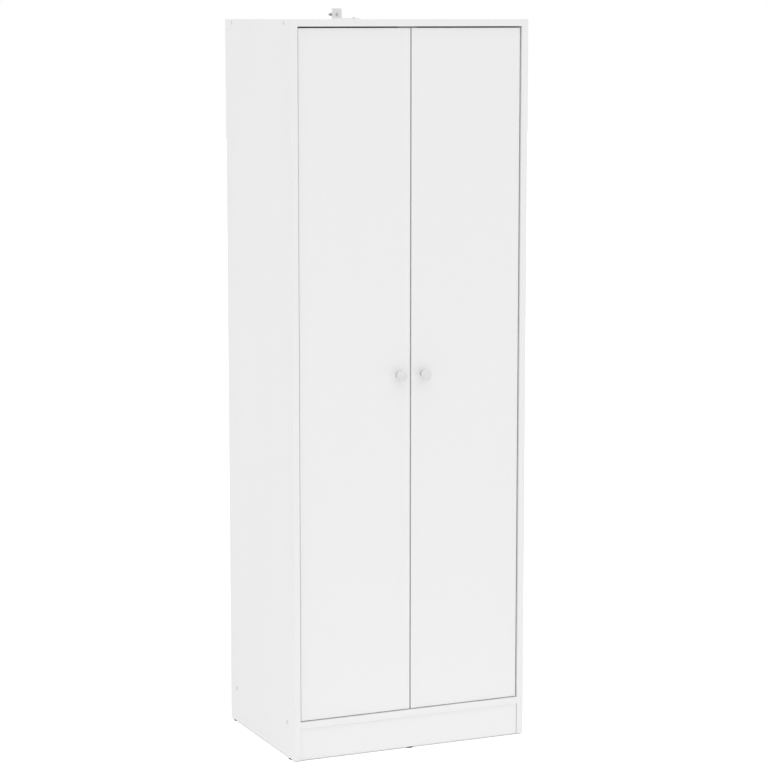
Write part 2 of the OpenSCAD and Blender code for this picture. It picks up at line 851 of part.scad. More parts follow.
module hinge_cup() {
    difference() {
        union() {
            difference() {
                union() {
                    rod_y(cup_r - fit, cup_x, [cup_skin + fit, door_t], 0);
                    translate([0, door_t + cup_flange_t, 0]) rotate([90, 0, 0])
                        linear_extrude(cup_flange_t) cup_flange_outline();
                }
                rod_y(cup_r - cup_wall, cup_x,
                    [cup_skin + cup_floor, door_t + cup_flange_t + over], 0);
            }
            // Ears inside the cup that hold the ends of the pin
            intersection() {
                rod_y(cup_r - fit, cup_x, [cup_skin + fit, door_t], 0);
                for (z = [[-cup_r, -ear_z], [ear_z, cup_r]])
                    block([pivot_in - ear_r, pivot_in + ear_r],
                        [cup_skin + fit, pivot_back + ear_r], z);
            }
        }
        rod_z(hinge_pin_r + pin_slot, pivot_in, pivot_back, [-cup_r, cup_r]);
        for (z = [-cup_wing_z, cup_wing_z])
            rod_y(cup_screw_r + fit, cup_wing_x, [door_t - over, door_t + cup_flange_t + over], z);
    }
}

module left_hinge_cups() {
    color("silver") at_hinges() hinge_cup();
}

module right_hinge_cups() {
    color("silver") mirror([1, 0, 0]) at_hinges() hinge_cup();
}

module hinge_pin() {
    rod_z(hinge_pin_r, pivot_in, pivot_back, [-hinge_pin_half, hinge_pin_half]);
}

module left_hinge_pins() {
    color("gray") at_hinges() hinge_pin();
}

module right_hinge_pins() {
    color("gray") mirror([1, 0, 0]) at_hinges() hinge_pin();
}

module cup_screws() {
    at_hinges() for (z = [-cup_wing_z, cup_wing_z])
        translate([cup_wing_x, door_t + cup_flange_t, z]) rotate([-90, 0, 0])
            pan_screw(cup_screw_r, cup_screw_l, cup_screw_head_r, cup_screw_head_t);
}

module left_cup_screws() {
    color("silver") cup_screws();
}

module right_cup_screws() {
    color("silver") mirror([1, 0, 0]) cup_screws();
}

// ---- Doors, drawn left-handed ----

module door_panel() {
    difference() {
        block([-door_hinge_x, -door_free_x], [y_door, y_door_back], [z_door, z_door_top]);
        at_hinges() {
            rod_y(cup_r, cup_x, [cup_skin, door_t + over], 0);
            for (z = [-cup_wing_z, cup_wing_z])
                rod_y(cup_screw_r + fit, cup_wing_x,
                    [door_t + cup_flange_t - cup_screw_l, door_t + over], z);
        }
        rod_y(knob_screw_r + fit, -knob_x, [y_door - over, y_door_back + over], knob_z);
        rod_y(strike_screw_r + fit, -strike_x, [y_door_back - strike_screw_l, y_door_back + over],
            z_catch);
    }
}

module left_door_panel() {
    color("white") door_panel();
}

module right_door_panel() {
    color("white") mirror([1, 0, 0]) door_panel();
}

// The knob's outline, radius against height in front of the door: a flat foot, a waist that swells
// on an S-curve into the cap's rim, and a domed cap
function swell(a, b, t) = a + (b - a) * (1 - cos(180 * t)) / 2;
function knob_outline(n) = concat(
    [[0, 0], [knob_foot_r, 0]],
    [for (i = [0 : n]) [swell(knob_foot_r, knob_waist_r, i / n),
        knob_foot_t + (knob_waist_at - knob_foot_t) * i / n]],
    [for (i = [1 : n]) [swell(knob_waist_r, knob_cap_r, i / n),
        knob_waist_at + (knob_rim_at - knob_waist_at) * i / n]],
    [for (i = [1 : n]) [knob_cap_r * cos(90 * i / n),
        knob_rim_at + knob_rim_t + (knob_l - knob_rim_at - knob_rim_t) * sin(90 * i / n)]]);

module door_knob() {
    translate([-knob_x, y_door, knob_z]) rotate([90, 0, 0]) difference() {
        rotate_extrude() polygon(knob_outline(8));
        translate([0, 0, -over]) cylinder(r = knob_screw_r + fit, h = knob_screw_in + over);
    }
}

module left_door_knob() {
    color("gainsboro") door_knob();
}

module right_door_knob() {
    color("gainsboro") mirror([1, 0, 0]) door_knob();
}

module knob_screw() {
    translate([-knob_x, y_door_back, knob_z]) rotate([-90, 0, 0])
        pan_screw(knob_screw_r, door_t + knob_screw_in - play, knob_screw_head_r,
            knob_screw_head_t);
}

module left_knob_screw() {
    color("silver") knob_screw();
}

module right_knob_screw() {
    color("silver") mirror([1, 0, 0]) knob_screw();
}

// ---- Magnetic catch and its strike plates ----

module catch_housing() {
    lip = 1;
    color("white") difference() {
        block([-catch_w / 2, catch_w / 2], [y_catch, y_catch + catch_d],
            [z_ceiling - catch_h, z_ceiling]);
        both_hands() {
            block([-strike_x - magnet_w / 2 - fit, -strike_x + magnet_w / 2 + fit],
                [y_catch - over, y_catch + magnet_d + fit],
                [z_catch - magnet_h / 2 - fit, z_catch + magnet_h / 2 + fit]);
            rod_z(catch_screw_r + fit, -catch_screw_x, catch_screw_y,
                [z_ceiling - catch_h - over, z_ceiling + over]);
            rod_z(catch_screw_head_r + lip, -catch_screw_x, catch_screw_y,
                [z_ceiling - catch_h - over, z_ceiling - catch_h + catch_screw_head_t + lip]);
        }
    }
}

module catch_magnets() {
    color("dimgray") both_hands()
        block([-strike_x - magnet_w / 2, -strike_x + magnet_w / 2],
            [y_magnet, y_catch + magnet_d],
            [z_catch - magnet_h / 2, z_catch + magnet_h / 2]);
}

module catch_screws() {
    seat = catch_h - catch_screw_head_t - 1;
    color("silver") both_hands()
        translate([-catch_screw_x, catch_screw_y, z_ceiling - seat]) rotate([180, 0, 0])
            pan_screw(catch_screw_r, seat + catch_screw_in - play, catch_screw_head_r,
                catch_screw_head_t);
}

module strike_plate() {
    difference() {
        block([-strike_x - strike_w / 2, -strike_x + strike_w / 2],
            [y_door_back, y_door_back + strike_t],
            [z_catch - strike_h / 2, z_catch + strike_h / 2]);
        translate([-strike_x, y_door_back + strike_t, z_catch]) rotate([-90, 0, 0])
            translate([0, 0, -strike_t]) cylinder(r1 = strike_screw_r + fit,
                r2 = strike_screw_head_r + fit, h = strike_t + 0.001);
    }
}

module left_strike_plate() {
    color("silver") strike_plate();
}

module right_strike_plate() {
    color("silver") mirror([1, 0, 0]) strike_plate();
}

module strike_screw() {
    translate([-strike_x, y_door_back + strike_t, z_catch]) rotate([-90, 0, 0])
        flat_screw(strike_screw_r, strike_screw_l + strike_t - play, strike_screw_head_r, strike_t);
}

module left_strike_screw() {
    color("silver") strike_screw();
}

module right_strike_screw() {
    color("silver") mirror([1, 0, 0]) strike_screw();
}

// ---- Wall bracket ----

// The strip's profile, lengthwise and upwards, with a round bend
function arc(centre, r, from, to, n) =
    [for (i = [0 : n]) centre + r * [cos(from + (to - from) * i / n), sin(from + (to - from) * i / n)]];
bracket_profile = concat(
    [[0, 0]],
    arc([bracket_leg - bend_r - bracket_t, bend_r + bracket_t], bend_r + bracket_t, -90, 0, 6),
    [[bracket_leg, bracket_up], [bracket_leg - bracket_t, bracket_up]],
    arc([bracket_leg - bend_r - bracket_t, bend_r + bracket_t], bend_r, 0, -90, 6),
    [[0, bracket_t]]);

module wall_bracket() {
    color("gainsboro") difference() {
        translate([-bracket_w / 2, y_leg, cabinet_h])
            rotate([90, 0, 90]) linear_extrude(bracket_w) polygon(bracket_profile);
        for (y = [leg_screw_y, leg_screw_y + leg_slot_l])
            rod_z(leg_screw_r + fit, 0, y, [cabinet_h - over, cabinet_h + bracket_t + over]);
        block([-leg_screw_r - fit, leg_screw_r + fit], [leg_screw_y, leg_screw_y + leg_slot_l],
            [cabinet_h - over, cabinet_h + bracket_t + over]);
        rod_y(wall_screw_r + fit, 0, [y_wall - bracket_t - over, y_wall + over], wall_screw_z);
    }
}

module bracket_screw() {
    color("gray") translate([0, leg_screw_y, cabinet_h + bracket_t])
        pan_screw(leg_screw_r, bracket_t + leg_screw_in - play, leg_screw_head_r,
            leg_screw_head_t);
}

module wall_screw() {
    color("gray") translate([0, y_wall - bracket_t, wall_screw_z]) rotate([90, 0, 0])
        pan_screw(wall_screw_r, bracket_t + wall_screw_in, leg_screw_head_r, leg_screw_head_t);
}

// A ribbed plug that tapers to its tip, with a bore for the screw
module wall_plug() {
    body_l = plug_l * 0.8;
    pitch = body_l / (plug_rib_n + 1);
    color("gray") translate([0, y_wall, wall_screw_z]) rotate([-90, 0, 0]) difference() {
        union() {
            cylinder(r = plug_r, h = body_l);
            cylinder(r = plug_collar_r, h = plug_collar_t);
            translate([0, 0, body_l]) cylinder(r1 = plug_r, r2 = plug_tip_r, h = plug_l - body_l);
            for (i = [1 : plug_rib_n]) translate([0, 0, i * pitch])
                cylinder(r1 = plug_r + plug_rib_h, r2 = plug_r, h = pitch / 2);
        }
        translate([0, 0, -over]) cylinder(r = wall_screw_r + fit, h = wall_screw_in + over);
    }
}

left_side_panel();
right_side_panel();
top_panel();
bottom_panel();
plinth_board();
fixed_shelf();
lower_shelf();
middle_shelf();
upper_shelf();
lower_back_panel();
upper_back_panel();
back_joining_strip();
back_nails();
housing_screws();
screw_caps();
wooden_dowels();
cam_bolts();
cam_locks();
shelf_pins();
glides();
glide_nails();
left_hinge_plates();
left_hinge_arms();
right_hinge_plates();
right_hinge_arms();
hinge_plate_screws();
hinge_arm_screws();
catch_housing();
catch_magnets();
catch_screws();
wall_bracket();
bracket_screw();
wall_screw();
wall_plug();
left_door_panel();
left_door_knob();
left_knob_screw();
left_hinge_cups();
left_hinge_pins();
left_cup_screws();
left_strike_plate();
left_strike_screw();
right_door_panel();
right_door_knob();
right_knob_screw();
right_hinge_cups();
right_hinge_pins();
right_cup_screws();
right_strike_plate();
right_strike_screw();
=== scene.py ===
"""A tall white two-door pantry cabinet: its boards, knobs, hinges and small fittings, dressed.

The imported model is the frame. Boards, knobs and caps are drawn again with eased edges and
finer curves, and every other piece keeps its own solid and gets its finish.
Lengths are in metres. X is to the right, the doors face -Y, and the floor is at Z = 0.
"""

import json
import math

import bmesh
import bpy
import numpy as np
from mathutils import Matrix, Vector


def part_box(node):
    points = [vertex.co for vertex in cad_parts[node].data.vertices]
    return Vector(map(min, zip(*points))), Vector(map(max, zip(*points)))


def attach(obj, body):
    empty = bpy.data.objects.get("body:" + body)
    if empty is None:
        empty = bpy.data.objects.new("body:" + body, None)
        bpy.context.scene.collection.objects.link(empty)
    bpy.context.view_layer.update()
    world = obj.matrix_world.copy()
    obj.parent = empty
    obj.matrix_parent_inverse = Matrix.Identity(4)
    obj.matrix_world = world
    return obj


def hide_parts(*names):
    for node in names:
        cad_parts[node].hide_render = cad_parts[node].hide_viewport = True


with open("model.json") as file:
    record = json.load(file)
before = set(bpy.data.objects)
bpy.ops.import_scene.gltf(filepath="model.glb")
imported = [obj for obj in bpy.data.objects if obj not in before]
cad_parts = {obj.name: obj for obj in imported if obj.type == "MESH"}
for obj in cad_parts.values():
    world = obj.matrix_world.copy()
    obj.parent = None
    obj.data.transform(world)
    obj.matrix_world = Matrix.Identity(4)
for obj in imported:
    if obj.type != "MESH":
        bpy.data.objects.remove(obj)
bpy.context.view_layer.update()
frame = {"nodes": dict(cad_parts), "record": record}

MM = 0.001
scene = bpy.context.scene
nodes = frame["nodes"]
body_of_node = {n: b for b, names in frame["record"]["behaviour"]["bodies"].items() for n in names}
slot_of_node = {s["node"]: s["material_slot"] for s in frame["record"]["subparts"]}

# ---- Camera, light and floor ----

EYE = (-2.5658, -5.8778, 1.8085)
EYE_TURN = 23.872
EYE_DOWN = 8.193
LENS = 119.93
DOME = 0.493
DOME_LEAN = 0.56
DOME_SIDE = (-0.63, -0.75, 0.0)
DOME_TOP = 2.5
WHITE_SHOWN = 1.0
BOX_SIZE = (2.4, 1.2)
BOX_POWER = 2.9
BOX_PLACE = (0.5, -3.2, 0.15)
BOX_TURN = 8
FLOOR_SIZE = 60.0
FLOOR_GLOW = 0.388
POOL_GLOW = 0.10
POOL_PLACE = (0.0, -0.45, 0.0)
POOL_REACH = (0.1, 0.8)
FLOOR_SHINE = (0.5, 0.28)
FOOT_SHADE = (1.5 * MM, 3.5 * MM)
EDGE_SOFT = 1.5 * MM


def photographer():
    """The camera, level from side to side, turned to the right and a little down."""
    data = bpy.data.cameras.new("camera")
    data.lens, data.sensor_width = LENS, 36.0
    data.clip_start, data.clip_end = 0.05, 200.0
    camera = bpy.data.objects.new("camera", data)
    camera.location = EYE
    camera.rotation_euler = (math.radians(90 - EYE_DOWN), 0.0, -math.radians(EYE_TURN))
    scene.collection.objects.link(camera)
    scene.camera = camera


class Tree:
    """A short way to write a node tree: every method adds a node and gives its output."""

    def __init__(self, tree):
        self.tree = tree
        tree.nodes.clear()

    def put(self, socket, value):
        if isinstance(value, bpy.types.NodeSocket):
            self.tree.links.new(value, socket)
        elif value is not None:
            socket.default_value = value

    def add(self, kind, sockets, out=0, **settings):
        node = self.tree.nodes.new("ShaderNode" + kind)
        for key, value in settings.items():
            setattr(node, key, value)
        for key, value in sockets.items():
            self.put(node.inputs[key], value)
        return node.outputs[out]

    def calc(self, operation, a, b=0.0, c=0.0, clamp=False):
        return self.add("Math", {0: a, 1: b, 2: c}, operation=operation, use_clamp=clamp)

    def blend(self, share, a, b):
        """Colour a where the share is 0 and b where it is 1."""
        node = self.tree.nodes.new("ShaderNodeMix")
        node.data_type = "RGBA"
        self.put(node.inputs[0], share)
        self.put(node.inputs[6], a)
        self.put(node.inputs[7], b)
        return node.outputs[2]

    def between(self, value, a, b, low=0.0, high=1.0, smooth=True):
        """The value's way from a to b, as a number from low to high."""
        return self.add("MapRange", {0: value, 1: a, 2: b, 3: low, 4: high},
                        interpolation_type="SMOOTHSTEP" if smooth else "LINEAR")

    def noise(self, where, scale, detail=2.0, rough=0.5):
        return self.add("TexNoise", {"Vector": where, "Scale": scale, "Detail": detail,
                                     "Roughness": rough})

    def bump(self, height, distance, strength, under=None):
        return self.add("Bump", {"Height": height, "Distance": distance, "Strength": strength,
                                 "Normal": under})


def grey(value, warmth=0.0):
    """A near-neutral colour, a little warmer or cooler than grey."""
    return (value * (1 + warmth), value, value * (1 - 1.4 * warmth), 1.0)


def studio_light():
    """A soft white dome that is brighter to the front left, and a low soft box that lifts the
    doors a little towards the floor. The dome's strength towards a direction is DOME times
    (1 + DOME_LEAN times that direction's share along DOME_SIDE + DOME_TOP times the square of
    its height). What the camera and bright metal see of the dome is plain white."""
    world = bpy.data.worlds.new("studio")
    scene.world = world
    world.use_nodes = True
    t = Tree(world.node_tree)
    node = t.tree.nodes.new("ShaderNodeLightPath")
    seen = t.calc("ADD", node.outputs["Is Camera Ray"], node.outputs["Is Glossy Ray"], clamp=True)
    seen = t.calc("ADD", seen, node.outputs["Is Transmission Ray"], clamp=True)
    ray = t.add("TexCoord", {}, out="Generated")
    lean = t.add("VectorMath", {0: ray, 1: DOME_SIDE}, out="Value", operation="DOT_PRODUCT")
    soft = t.calc("MULTIPLY_ADD", lean, DOME * DOME_LEAN, DOME)
    up = t.add("VectorMath", {0: ray, 1: (0, 0, 1)}, out="Value", operation="DOT_PRODUCT")
    soft = t.calc("MULTIPLY_ADD", t.calc("MULTIPLY", up, up), DOME * DOME_TOP, soft)
    strength = t.add("Mix", {0: seen, 2: soft, 3: WHITE_SHOWN})
    sky = t.add("Background", {"Color": (1, 1, 1, 1), "Strength": strength})
    out = t.tree.nodes.new("ShaderNodeOutputWorld")
    t.tree.links.new(sky, out.inputs["Surface"])

    data = bpy.data.lights.new("front_soft_box", "AREA")
    data.shape, (data.size, data.size_y) = "RECTANGLE", BOX_SIZE
    data.energy = BOX_POWER
    lamp = bpy.data.objects.new("front_soft_box", data)
    lamp.location = BOX_PLACE
    lamp.rotation_euler = (math.radians(90), 0.0, math.radians(BOX_TURN))
    scene.collection.objects.link(lamp)


def pale_floor():
    """A plain pale floor. It shines up on the cabinet as a white light table does, most in a
    small pool before the doors and not at all from under the boards. FLOOR_SHINE is how bright
    the camera sees it, in the open and under the boards, where the lower value is a painted
    contact shadow. Round each glide a painted shadow makes it dark, from the first reach of
    FOOT_SHADE past the glide's edge to the second."""
    side_low, side_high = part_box("left_side_panel")
    plinth_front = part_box("plinth_board")[0][1]
    half_w, inner = -side_low[0], -side_high[0]
    mesh = bpy.data.meshes.new("floor")
    h = FLOOR_SIZE / 2
    mesh.from_pydata([(-h, -h, 0), (h, -h, 0), (h, h, 0), (-h, h, 0)], [], [(0, 1, 2, 3)])
    floor = bpy.data.objects.new("floor", mesh)
    scene.collection.objects.link(floor)
    material = bpy.data.materials.new("pale_floor")
    material.use_nodes = True
    t = Tree(material.node_tree)
    node = t.tree.nodes.new("ShaderNodeLightPath")
    mirrored = t.calc("ADD", node.outputs["Is Glossy Ray"], node.outputs["Is Transmission Ray"],
                      clamp=True)
    place = t.add("TexCoord", {}, out="Object")
    axes = t.tree.nodes.new("ShaderNodeSeparateXYZ")
    t.put(axes.inputs[0], place)
    across = t.calc("ABSOLUTE", axes.outputs["X"])

    def within(value, low, high):
        off = t.calc("ABSOLUTE", t.calc("SUBTRACT", value, (low + high) / 2))
        half = (high - low) / 2
        return t.between(off, half - EDGE_SOFT, half, 1.0, 0.0)

    boards = t.calc("MULTIPLY", within(across, -half_w, half_w),
                    within(axes.outputs["Y"], plinth_front, side_high[1]))
    ends = t.calc("MULTIPLY", within(across, inner, half_w),
                  within(axes.outputs["Y"], side_low[1], side_high[1]))
    under = t.calc("MAXIMUM", boards, ends)
    # Painted shadow round each glide: there the shown floor turns dark and stops shining
    glide_shadow = None
    for low, high in islands(nodes["glides"]):
        middle = ((low[0] + high[0]) / 2, (low[1] + high[1]) / 2, 0.0)
        off = t.add("VectorMath", {0: place, 1: middle}, out="Value", operation="DISTANCE")
        radius = (high[0] - low[0]) / 2
        glide_shadow_spot = t.between(off, radius + FOOT_SHADE[0], radius + FOOT_SHADE[1], 1.0, 0.0)
        glide_shadow = glide_shadow_spot if glide_shadow is None else t.calc("MAXIMUM", glide_shadow, glide_shadow_spot)
    away = t.add("VectorMath", {0: place, 1: POOL_PLACE}, out="Value", operation="DISTANCE")
    pool = t.between(away, *POOL_REACH, POOL_GLOW, 0.0)
    glow = t.calc("MULTIPLY", t.calc("ADD", pool, FLOOR_GLOW), t.calc("SUBTRACT", 1.0, under))
    card = t.add("AddShader", {0: t.add("BsdfDiffuse", {"Color": grey(0.55)}),
                               1: t.add("Emission", {"Color": (1, 1, 1, 1), "Strength": glow})})
    # The shown floor shines less under the boards, a painted contact shadow
    shown_shine_with_painted_shade = t.calc("MULTIPLY", t.between(under, 0, 1, *FLOOR_SHINE), t.calc("SUBTRACT", 1.0, glide_shadow))
    floor_tone_with_glide_shadow = t.blend(glide_shadow, grey(1.0), grey(0.05))
    shown = t.add("AddShader", {0: t.add("BsdfDiffuse", {"Color": floor_tone_with_glide_shadow}),
                                1: t.add("Emission", {"Color": (1, 1, 1, 1), "Strength": shown_shine_with_painted_shade})})
    white = t.add("Emission", {"Color": (1, 1, 1, 1), "Strength": WHITE_SHOWN})
    surface = t.add("MixShader", {0: node.outputs["Is Camera Ray"], 1: card, 2: shown})
    surface = t.add("MixShader", {0: mirrored, 1: surface, 2: white})
    out = t.tree.nodes.new("ShaderNodeOutputMaterial")
    t.tree.links.new(surface, out.inputs["Surface"])
    mesh.materials.append(material)


# ---- Finishes ----

class Finish(Tree):
    """A material in the making, with the piece's own coordinates at hand."""

    def __init__(self, name):
        self.material = bpy.data.materials.new(name)
        self.material.use_nodes = True
        super().__init__(self.material.node_tree)
        self.place = self.add("TexCoord", {}, out="Object")
        axes = self.tree.nodes.new("ShaderNodeSeparateXYZ")
        self.put(axes.inputs[0], self.place)
        self.axis = dict(zip("xyz", axes.outputs))

    def scaled(self, x, y, z):
        return self.add("Mapping", {"Vector": self.place, "Scale": (x, y, z)})

    def done(self, colour, roughness, normal, metal=0.0):
        out = self.tree.nodes.new("ShaderNodeOutputMaterial")
        shader = self.add("BsdfPrincipled", {"Base Color": colour, "Roughness": roughness,
                                             "Normal": normal, "Metallic": metal})
        self.tree.links.new(shader, out.inputs["Surface"])
        return self.material


# The boards: which way each one's thickness runs, and its edges that carry a band. An edge is
# (axis, which end), so ("y", 0) is the front edge.
BANDED = {
    "left_side_panel": ("x", [("y", 0), ("z", 0), ("z", 1)]),
    "right_side_panel": ("x", [("y", 0), ("z", 0), ("z", 1)]),
    "top_panel": ("z", [("y", 0)]),
    "bottom_panel": ("z", [("y", 0)]),
    "plinth_board": ("y", [("x", 0), ("x", 1), ("z", 0)]),
    "fixed_shelf": ("z", [("y", 0)]),
    "lower_shelf": ("z", [("y", 0), ("y", 1)]),
    "middle_shelf": ("z", [("y", 0), ("y", 1)]),
    "upper_shelf": ("z", [("y", 0), ("y", 1)]),
    "left_door_panel": ("y", [("x", 0), ("x", 1), ("z", 0), ("z", 1)]),
    "right_door_panel": ("y", [("x", 0), ("x", 1), ("z", 0), ("z", 1)]),
}
BAND_T = 0.8 * MM
PAPER_T = 0.35 * MM
BOARD_WHITE = 0.865
# Door bands are painted lighter than the faces, a painted light that lifts the shade in the
# gaps round the doors; the other bands are a little darker
DOOR_BAND_PAINTED_LIGHT = 0.075
OTHER_BAND = -0.012
# Painted shade at the plinth board's ends where they meet the sides: fully dark up to the
# first reach, gone at the second
END_SHADE = (0.6 * MM, 1.4 * MM)
END_SHADE_SHARE = 0.75


def white_melamine(node):
    """White melamine on chipboard. The faces carry a fine pearl emboss over the faint ripple of
    the chips, edges carry a smoother band with a hairline joint, and bores and bare edges show
    the chips themselves. The plinth board's ends carry a painted shade line where they meet the
    sides."""
    thick, bands = BANDED[node]
    low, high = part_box(node)
    f = Finish("white_melamine_" + node)
    a = "xyz".index(thick)
    # Chips show where the surface is inside the paper and away from every band
    from_face = f.calc("MINIMUM", f.calc("SUBTRACT", f.axis[thick], low[a]),
                       f.calc("SUBTRACT", high[a], f.axis[thick]))
    bare = f.between(from_face, PAPER_T - 0.02 * MM, PAPER_T + 0.02 * MM)
    joint = None
    band_face = None
    for axis, end in bands:
        b = "xyz".index(axis)
        edge = (low, high)[end][b]
        from_edge = f.calc("ABSOLUTE", f.calc("SUBTRACT", f.axis[axis], edge))
        inside = f.between(from_edge, BAND_T - 0.01 * MM, BAND_T + 0.01 * MM)
        bare = f.calc("MULTIPLY", bare, inside)
        line = f.between(f.calc("ABSOLUTE", f.calc("SUBTRACT", from_edge, BAND_T)),
                         0.03 * MM, 0.11 * MM, 1.0, 0.0)
        joint = line if joint is None else f.calc("MAXIMUM", joint, line)
        face = f.calc("SUBTRACT", 1.0, inside)
        band_face = face if band_face is None else f.calc("MAXIMUM", band_face, face)
    cloud = f.noise(f.place, 2.3, 3.0)
    mottle = f.noise(f.place, 55.0, 3.0, 0.6)
    tone = f.calc("ADD", f.calc("MULTIPLY", f.calc("SUBTRACT", cloud, 0.5), 0.016),
                  f.calc("MULTIPLY", f.calc("SUBTRACT", mottle, 0.5), 0.010))
    white = f.blend(f.calc("ADD", 0.5, f.calc("MULTIPLY", tone, 20.0), clamp=True),
                    grey(BOARD_WHITE - 0.012, 0.001), grey(BOARD_WHITE + 0.012, 0.001))
    # Door bands are painted lighter, a painted light in the shaded gaps round the doors
    band_white = BOARD_WHITE + (DOOR_BAND_PAINTED_LIGHT if node.endswith("door_panel") else OTHER_BAND)
    white = f.blend(f.calc("MULTIPLY", band_face, 0.7), white, grey(band_white, 0.002))
    white = f.blend(f.calc("MULTIPLY", joint, 0.35), white, grey(0.45, 0.02))
    # Painted shade line at the plinth board's ends, where they meet the sides
    if node == "plinth_board":
        from_end = f.calc("MINIMUM", f.calc("SUBTRACT", f.axis["x"], low[0]),
                          f.calc("SUBTRACT", high[0], f.axis["x"]))
        dark = f.between(from_end, *END_SHADE, END_SHADE_SHARE, 0.0)
        white = f.blend(dark, white, grey(0.22, 0.02))
    chips = f.add("TexVoronoi", {"Vector": f.scaled(1.0, 1.0, 1.6), "Scale": 420.0}, out="Color")
    chip_tone = f.add("SeparateColor", {0: chips})
    wood = f.blend(chip_tone, (0.30, 0.19, 0.105, 1), (0.62, 0.47, 0.31, 1))
    wood = f.blend(f.between(f.noise(f.place, 900.0, 2.0), 0.35, 0.75), wood, (0.42, 0.30, 0.19, 1))
    colour = f.blend(bare, white, wood)
    # Gloss: an even satin with soft handling marks
    wipes = f.noise(f.scaled(9.0, 9.0, 2.2), 1.0, 4.0, 0.6)
    satin = f.between(wipes, 0.3, 0.7, 0.36, 0.47)
    satin = f.calc("ADD", satin, f.between(f.noise(f.place, 210.0, 2.0), 0.35, 0.65, -0.03, 0.03))
    satin = f.calc("SUBTRACT", satin, f.calc("MULTIPLY", band_face, 0.05))
    roughness = f.between(bare, 0.0, 1.0, satin, 0.85, smooth=False)
    # Relief: the ripple, the pearl emboss, the joint's groove and the torn chips
    pearl = f.calc("MULTIPLY", f.noise(f.place, 1500.0, 1.0), f.calc("SUBTRACT", 1.0, band_face))
    ripple = f.bump(f.noise(f.place, 70.0, 2.0), 0.10 * MM, 0.35)
    relief = f.bump(pearl, 0.03 * MM, 0.5, ripple)
    groove = f.bump(f.calc("SUBTRACT", 1.0, joint), 0.05 * MM, 0.8, relief)
    torn = f.add("TexVoronoi", {"Vector": f.place, "Scale": 600.0}, out="Distance")
    rough_chips = f.bump(f.calc("MULTIPLY", torn, bare), 0.4 * MM, 0.9, groove)
    return f.done(colour, roughness, rough_chips)


def white_hardboard(node):
    """Thin hardboard with white paper inside, and its brown pressed fibres on the rear and the
    edges. The rear has the faint mesh of the press screen."""
    low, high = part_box(node)
    f = Finish("white_hardboard_" + node)
    front = f.between(f.calc("SUBTRACT", f.axis["y"], low[1]), 0.12 * MM, 0.16 * MM, 1.0, 0.0)
    cloud = f.noise(f.place, 2.0, 3.0)
    paper = f.blend(cloud, grey(0.83, 0.003), grey(0.85, 0.003))
    fibre = f.noise(f.scaled(1.0, 1.0, 3.0), 380.0, 5.0, 0.7)
    brown = f.blend(f.between(fibre, 0.3, 0.7), (0.235, 0.135, 0.072, 1), (0.40, 0.255, 0.15, 1))
    brown = f.blend(f.between(f.noise(f.place, 12.0, 3.0), 0.35, 0.75, 0.0, 0.5), brown,
                    (0.30, 0.185, 0.105, 1))
    flecks = f.between(f.noise(f.place, 700.0, 1.0), 0.66, 0.72, 0.0, 0.55)
    brown = f.blend(flecks, brown, (0.11, 0.062, 0.035, 1))
    colour = f.blend(front, brown, paper)
    cloth = f.calc("MULTIPLY", f.add("TexWave", {"Vector": f.place, "Scale": 260.0},
                                     wave_type="BANDS", bands_direction="X"),
                   f.add("TexWave", {"Vector": f.place, "Scale": 260.0},
                         wave_type="BANDS", bands_direction="Z"))
    mesh_side = f.calc("MULTIPLY", cloth, f.calc("SUBTRACT", 1.0, front))
    wave = f.bump(f.noise(f.place, 6.0, 1.0), 2.0 * MM, 0.08)
    relief = f.bump(f.noise(f.place, 900.0, 2.0), 0.04 * MM, 0.4, wave)
    pressed = f.bump(mesh_side, 0.12 * MM, 0.6, relief)
    roughness = f.between(front, 0.0, 1.0, 0.72, 0.5, smooth=False)
    roughness = f.calc("ADD", roughness, f.between(cloud, 0.3, 0.7, -0.03, 0.04))
    return f.done(colour, roughness, pressed)


def moulded(name, colour, dark, rough, grain=1100.0, depth=0.03 * MM):
    """Moulded plastic: a fine spark-eroded grain, a little flow mottle and uneven gloss."""
    f = Finish(name)
    flow = f.noise(f.place, 40.0, 3.0)
    tint = f.blend(f.between(flow, 0.35, 0.65), colour, dark)
    specks = f.noise(f.place, grain, 2.0, 0.6)
    gloss = f.between(f.noise(f.place, 160.0, 3.0), 0.3, 0.7, rough - 0.06, rough + 0.08)
    relief = f.bump(specks, depth, 0.6, f.bump(flow, 0.15 * MM, 0.2))
    return f.done(tint, gloss, relief)


def lacquered(name, colour, dark, rough, peel=520.0, neck=None):
    """Sprayed lacquer or powder coat on metal: orange peel, dust nibs and rubbed gloss. A neck is
    (its rear, its front, how much darker): painted shade greys the coat there, standing in for
    the shade round a knob's neck between the door and the cap."""
    f = Finish(name)
    cloud = f.noise(f.place, 90.0, 3.0)
    tint = f.blend(f.between(cloud, 0.3, 0.7), colour, dark)
    if neck:
        # Painted shade on the knob's neck, from the door out towards the cap
        rear, front, share = neck
        foot_side = f.between(f.axis["y"], rear + 0.6 * MM, rear - 3.0 * MM, 0.35, 1.0)
        cap_side = f.between(f.axis["y"], front + 4.0 * MM, front - 3.0 * MM, 1.0, 0.0)
        neck_shade = f.calc("MULTIPLY", foot_side, cap_side)
        tint = f.blend(f.calc("MULTIPLY", neck_shade, share), tint, grey(0.30, 0.01))
    skin = f.noise(f.place, peel, 2.0)
    nibs = f.between(f.noise(f.place, 1900.0, 1.0), 0.68, 0.75)
    gloss = f.between(f.noise(f.place, 120.0, 4.0, 0.6), 0.3, 0.7, rough - 0.05, rough + 0.07)
    relief = f.bump(nibs, 0.02 * MM, 0.5, f.bump(skin, 0.06 * MM, 0.35))
    return f.done(tint, gloss, relief)


